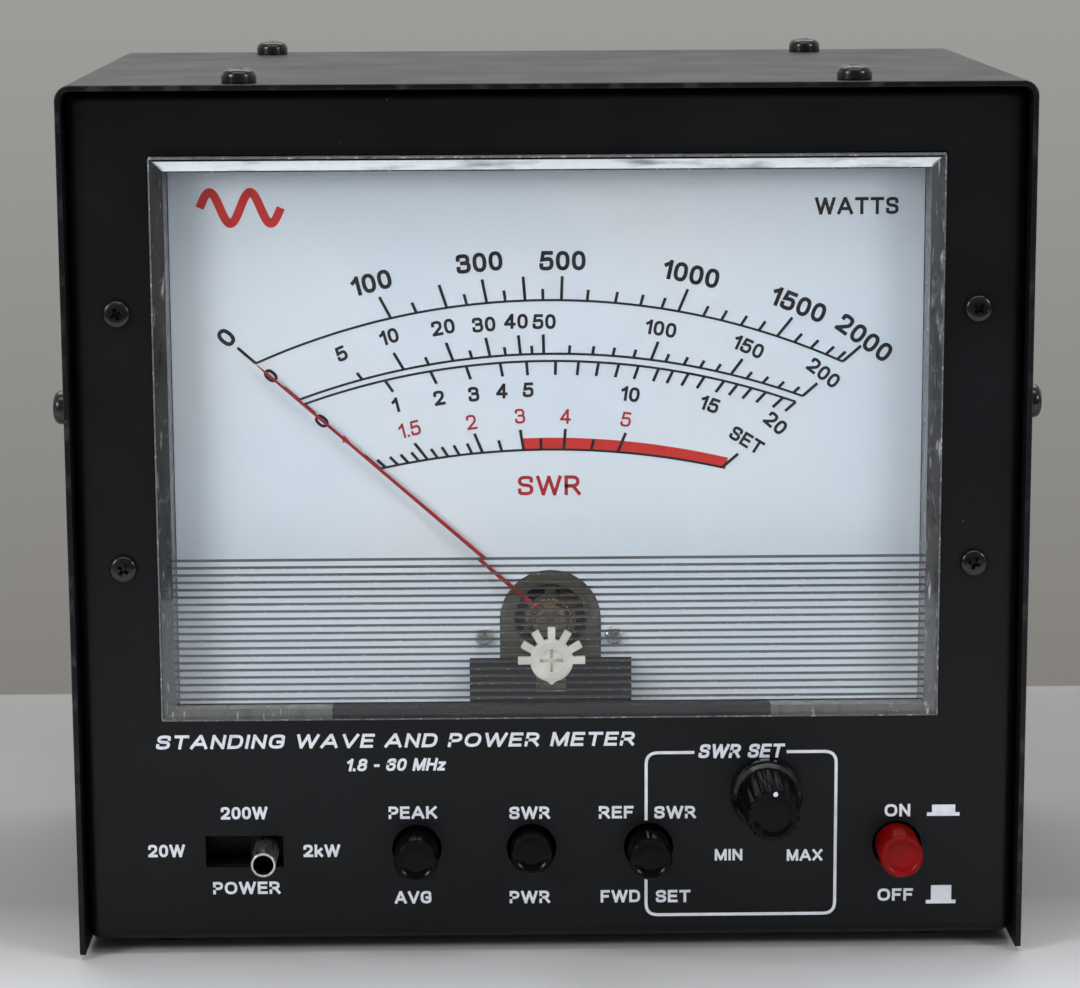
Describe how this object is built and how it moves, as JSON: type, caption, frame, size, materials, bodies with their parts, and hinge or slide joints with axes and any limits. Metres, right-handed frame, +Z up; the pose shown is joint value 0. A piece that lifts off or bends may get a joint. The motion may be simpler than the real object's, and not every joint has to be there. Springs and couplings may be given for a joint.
{
  "type": "swr and power meter",
  "caption": "Bench SWR and RF power meter with a large moving coil meter, latching push buttons, a range slide and a set knob in a black sheet metal case.",
  "frame": {"origin": "on the floor under the middle of the object's bounding box, at the bottom of the rubber feet", "axes": "+X to the right as seen from the front, +Y from the front panel to the back, +Z up"},
  "size_m": [0.1962, 0.148, 0.1787],
  "materials": {
    "black_paint": "satin black baked enamel, slightly rubbed at the bends",
    "black_screw": "black oxide, a little oily",
    "black_plastic": "moulded black plastic",
    "black_gloss": "glossy black moulding",
    "red_gloss": "glossy red moulding",
    "clear_plastic": "clear moulded acrylic with fine scratches",
    "white_plastic": "off-white moulding",
    "dial_paint": "matt white print on sheet metal",
    "pointer_red": "matt red paint",
    "plated_steel": "bright nickel plate",
    "dark_iron": "dull dark iron",
    "copper_wire": "varnished copper wire",
    "brass": "plain brass",
    "aluminium": "plain sheet aluminium",
    "rubber": "matt black rubber",
    "board": "green lacquered board",
    "lamp_glass": "clear glass"
  },
  "bodies": {
    "case": {"chassis": "black_paint", "top_cover": "black_paint", "top_screw_1": "black_screw", "top_screw_2": "black_screw", "top_screw_3": "black_screw", "top_screw_4": "black_screw", "side_screw_1": "black_screw", "side_screw_2": "black_screw", "side_screw_3": "black_screw", "side_screw_4": "black_screw", "panel_screw_1": "black_screw", "panel_screw_2": "black_screw", "panel_screw_3": "black_screw", "panel_screw_4": "black_screw", "meter_case": "black_plastic", "movement_frame": "black_plastic", "peak_avg_switch": "black_plastic", "swr_pwr_switch": "black_plastic", "ref_fwd_switch": "black_plastic", "on_off_switch": "black_plastic", "slide_switch": "black_plastic", "dc_jack": "black_plastic", "meter_window": "clear_plastic", "socket_insulator_1": "white_plastic", "socket_insulator_2": "white_plastic", "dial_plate": "dial_paint", "magnet_core": "plated_steel", "control_nut": "plated_steel", "dial_screw_1": "plated_steel", "dial_screw_2": "plated_steel", "coax_socket_1": "plated_steel", "coax_socket_2": "plated_steel", "magnet_yoke": "dark_iron", "control_body": "dark_iron", "front_bridge": "brass", "hairspring": "brass", "ground_post": "brass", "terminal_stud_1": "brass", "terminal_stud_2": "brass", "coupler_box": "aluminium", "board_spacer_1": "aluminium", "board_spacer_2": "aluminium", "foot_1": "rubber", "foot_2": "rubber", "foot_3": "rubber", "foot_4": "rubber", "circuit_board": "board", "meter_lamp": "lamp_glass"},
    "needle": {"pointer": "pointer_red", "moving_coil": "copper_wire", "pivot_shaft": "plated_steel"},
    "zero_adjuster_wheel": {"zero_adjuster": "white_plastic"},
    "zero_lever": {"zero_arm": "brass"},
    "power_slide": {"power_lever": "plated_steel"},
    "peak_avg": {"peak_avg_button": "black_gloss"},
    "swr_pwr": {"swr_pwr_button": "black_gloss"},
    "ref_fwd": {"ref_fwd_button": "black_gloss"},
    "on_off": {"on_off_button": "red_gloss"},
    "swr_set": {"swr_set_knob": "black_gloss", "control_shaft": "plated_steel"}
  },
  "joints": [
    {"name": "needle_swing", "type": "hinge", "parent": "case", "child": "needle", "pos_m": [0.0003, -0.04795, 0.0686], "axis": [0, 1, 0], "range_deg": [0, 97.4], "stiffness_Nm_per_rad": 0.00005},
    {"name": "zero_adjuster_turn", "type": "hinge", "parent": "case", "child": "zero_adjuster_wheel", "pos_m": [0.0003, -0.05895, 0.0615], "axis": [0, 1, 0], "range_deg": [-25, 25]},
    {"name": "zero_arm_turn", "type": "hinge", "parent": "case", "child": "zero_lever", "pos_m": [0.0003, -0.05345, 0.0686], "axis": [0, 1, 0], "range_deg": [-3.8, 3.8]},
    {"name": "power_range_slide", "type": "slide", "parent": "case", "child": "power_slide", "axis": [1, 0, 0], "range_m": [-0.0076, 0]},
    {"name": "peak_avg_press", "type": "slide", "parent": "case", "child": "peak_avg", "axis": [0, 1, 0], "range_m": [0, 0.0045]},
    {"name": "swr_pwr_release", "type": "slide", "parent": "case", "child": "swr_pwr", "axis": [0, 1, 0], "range_m": [-0.0045, 0]},
    {"name": "ref_fwd_press", "type": "slide", "parent": "case", "child": "ref_fwd", "axis": [0, 1, 0], "range_m": [0, 0.0045]},
    {"name": "on_off_press", "type": "slide", "parent": "case", "child": "on_off", "axis": [0, 1, 0], "range_m": [0, 0.0045]},
    {"name": "swr_set_turn", "type": "hinge", "parent": "case", "child": "swr_set", "pos_m": [0.0435, -0.05895, 0.0331], "axis": [0, 1, 0], "range_deg": [-155, 145]}
  ],
  "couplings": [
    {"joint": "zero_arm_turn", "follows": "zero_adjuster_turn", "ratio": 0.145}
  ]
}
